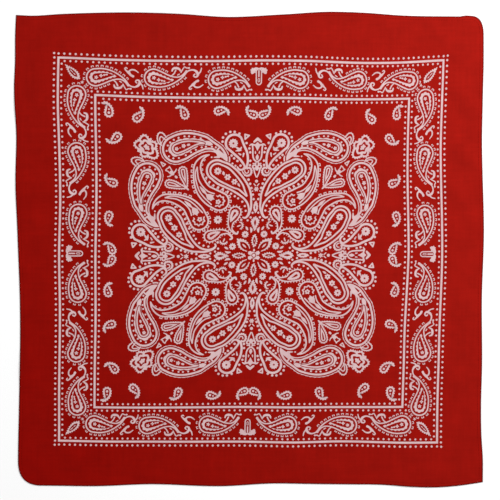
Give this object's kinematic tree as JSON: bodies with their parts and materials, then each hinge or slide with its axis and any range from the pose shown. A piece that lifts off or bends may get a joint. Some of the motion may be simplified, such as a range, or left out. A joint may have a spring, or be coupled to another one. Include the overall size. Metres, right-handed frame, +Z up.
{
  "type": "bandana",
  "caption": "Square cotton bandana laid out flat, narrow hems turned under on its edges, with soft folds along its plain margins.",
  "frame": {"origin": "on the surface that the cloth lies on, under the middle of its box", "axes": "+Z up from the surface, out of the printed face; +X to the right and +Y to the top of the print"},
  "size_m": [0.5496, 0.5564, 0.0041],
  "materials": {
    "cotton": "matt dyed plain-weave cotton",
    "hem_cotton": "matt dyed plain-weave cotton, wrong side",
    "print": "matt discharge print in the cotton",
    "thread": "sewing thread"
  },
  "bodies": {
    "root": {"panel": "cotton", "hem_bottom": "hem_cotton", "hem_right": "hem_cotton", "hem_top": "hem_cotton", "hem_left": "hem_cotton"}
  },
  "joints": []
}
